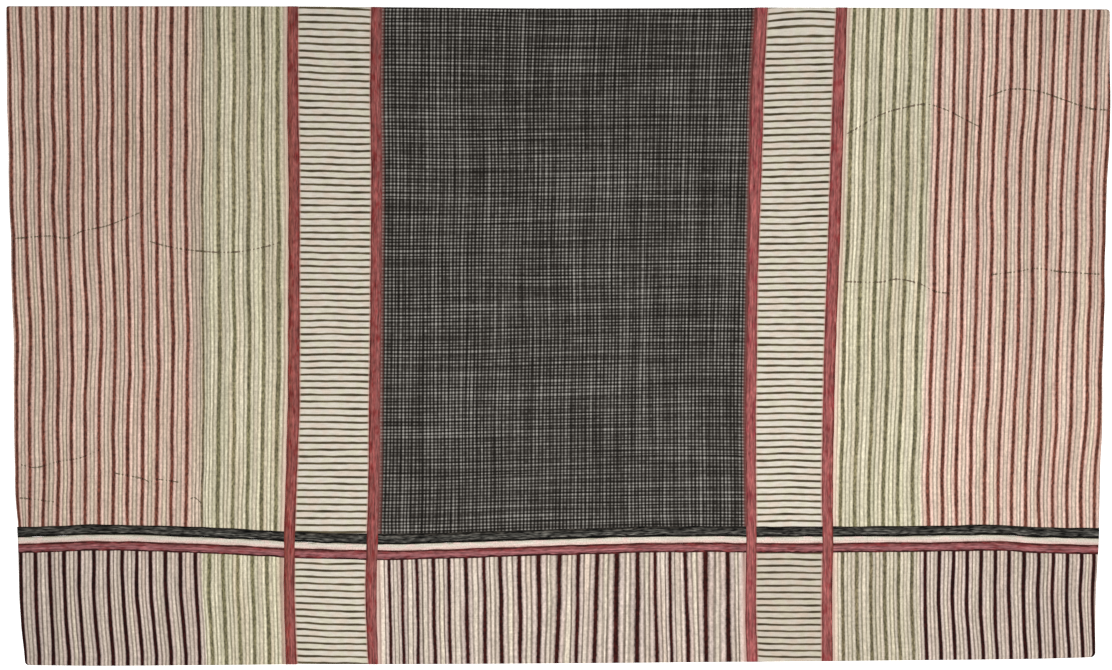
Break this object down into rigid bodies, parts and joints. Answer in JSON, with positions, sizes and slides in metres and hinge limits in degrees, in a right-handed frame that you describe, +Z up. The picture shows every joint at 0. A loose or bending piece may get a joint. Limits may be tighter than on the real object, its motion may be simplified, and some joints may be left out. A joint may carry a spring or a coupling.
{
  "type": "pieced handwoven cotton cloth",
  "caption": "Flat handwoven cotton cloth pieced from striped, barred and checked lengths, with crosswise bands and upright tapes over the joins.",
  "frame": {"origin": "middle of the cloth, on the surface that it lies on", "axes": "+X runs across the cloth to the right, +Y runs up to its head, +Z points up out of its face"},
  "size_m": [1.125, 0.6716, 0.0043],
  "materials": {
    "brick_stripe": "ribbed handwoven cotton, brick, pink, olive and cream stripes, matt",
    "cream_bars": "cream handwoven cotton with thin dark crosswise bars, matt",
    "charcoal_check": "small charcoal and grey check, handwoven cotton, matt",
    "charcoal_cotton": "charcoal cotton flecked with grey, matt",
    "cream_cotton": "plain cream cotton, matt",
    "crimson_cotton": "mottled crimson cotton with darker edges, matt",
    "maroon_stripe": "ribbed handwoven cotton, maroon, pink, olive and cream stripes, matt"
  },
  "bodies": {
    "root": {"side_panel_left": "brick_stripe", "side_panel_right": "brick_stripe", "barred_panel_left": "cream_bars", "barred_panel_right": "cream_bars", "check_panel": "charcoal_check", "charcoal_band": "charcoal_cotton", "cream_band": "cream_cotton", "crimson_band": "crimson_cotton", "border_left": "maroon_stripe", "border_middle": "maroon_stripe", "border_right": "maroon_stripe", "border_barred_left": "cream_bars", "border_barred_right": "cream_bars", "tape_outer_left": "crimson_cotton", "tape_inner_left": "crimson_cotton", "tape_inner_right": "crimson_cotton", "tape_outer_right": "crimson_cotton"}
  },
  "joints": []
}
